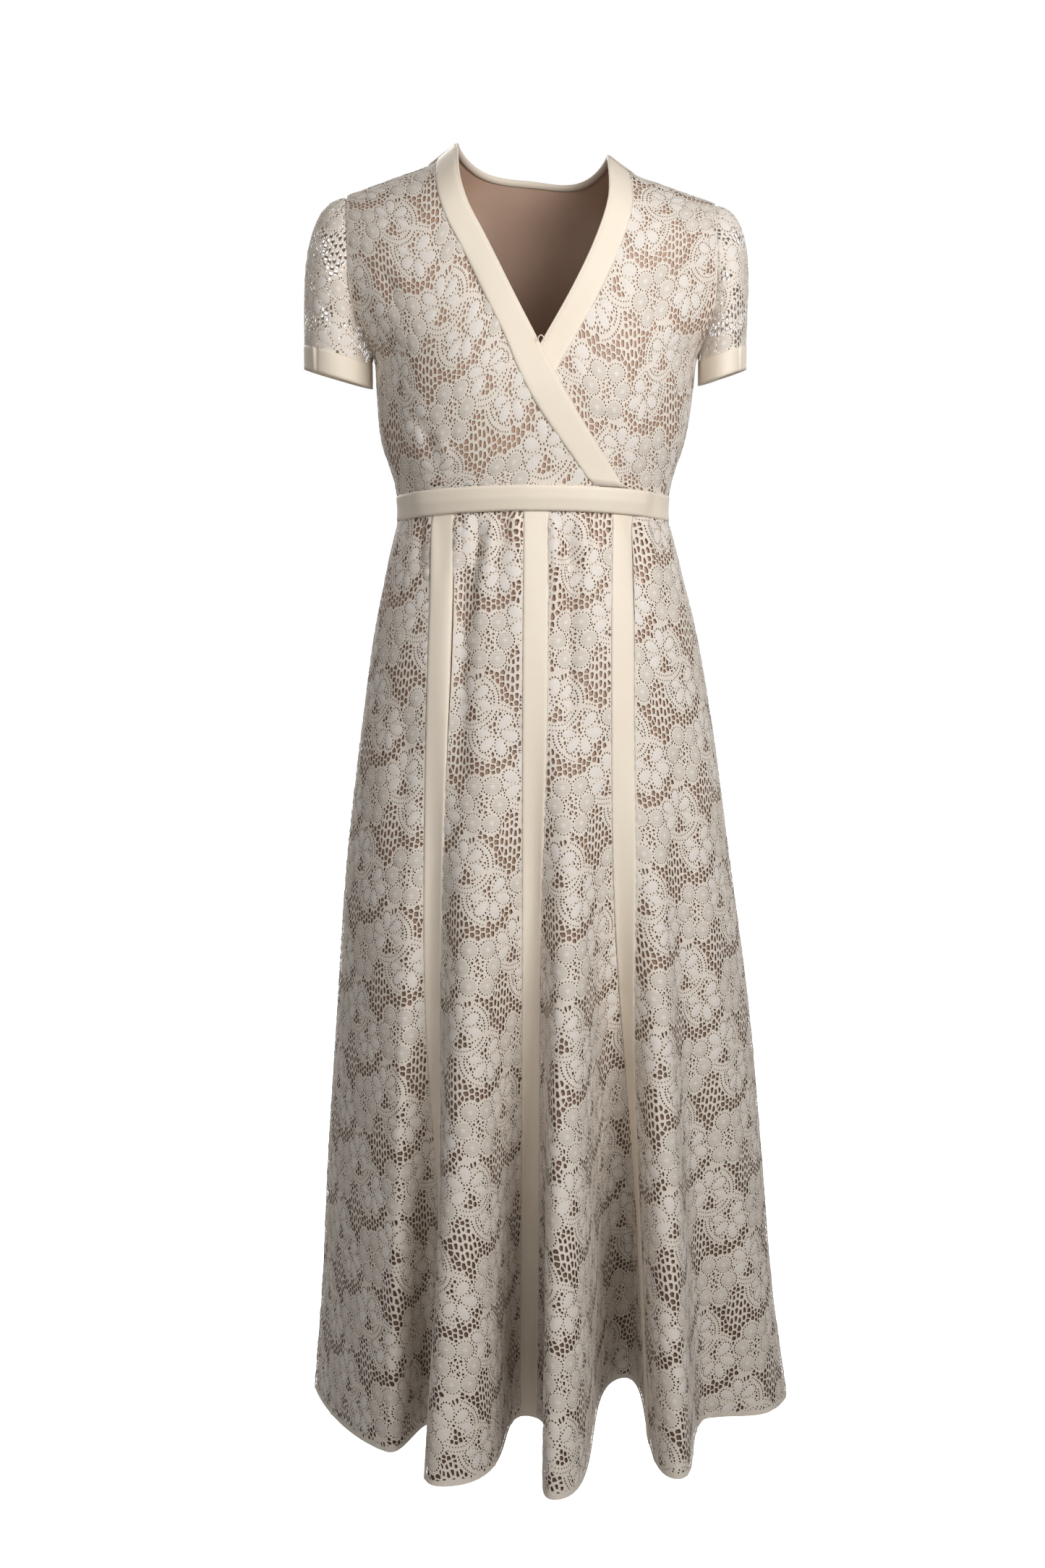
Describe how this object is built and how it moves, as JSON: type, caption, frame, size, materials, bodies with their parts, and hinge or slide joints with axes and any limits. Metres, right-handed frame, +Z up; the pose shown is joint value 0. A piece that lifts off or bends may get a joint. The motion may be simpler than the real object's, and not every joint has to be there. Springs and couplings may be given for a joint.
{
  "type": "lace maxi dress",
  "caption": "Full-length empire-waist dress with a surplice V neck, short sleeves, a floral lace shell over a lining, and cream tape trim",
  "frame": {"origin": "midway between the two neck points of the shoulders, where the wearer's shoulders carry the dress", "axes": "+Z up, -Y is the front of the dress, +X is the wearer's left"},
  "size_m": [0.5365, 0.5079, 1.3678],
  "materials": {
    "lace": "matte",
    "lining": "satin",
    "tape": "matte"
  },
  "bodies": {
    "root": {"bodice_lace_back": "lace", "bodice_lace_front_over": "lace", "bodice_lace_front_under": "lace", "bodice_lining_back": "lining", "bodice_lining_front_over": "lining", "bodice_lining_front_under": "lining", "cuff_left": "tape", "cuff_right": "tape", "neck_band_back": "tape", "neck_band_over": "tape", "neck_band_under": "tape", "skirt_lace_back": "lace", "skirt_lace_front": "lace", "skirt_lining_back": "lining", "skirt_lining_front": "lining", "skirt_tape_centre": "tape", "skirt_tape_left": "tape", "skirt_tape_right": "tape", "sleeve_left_back": "lace", "sleeve_left_front": "lace", "sleeve_right_back": "lace", "sleeve_right_front": "lace", "waistband": "tape"}
  },
  "joints": []
}
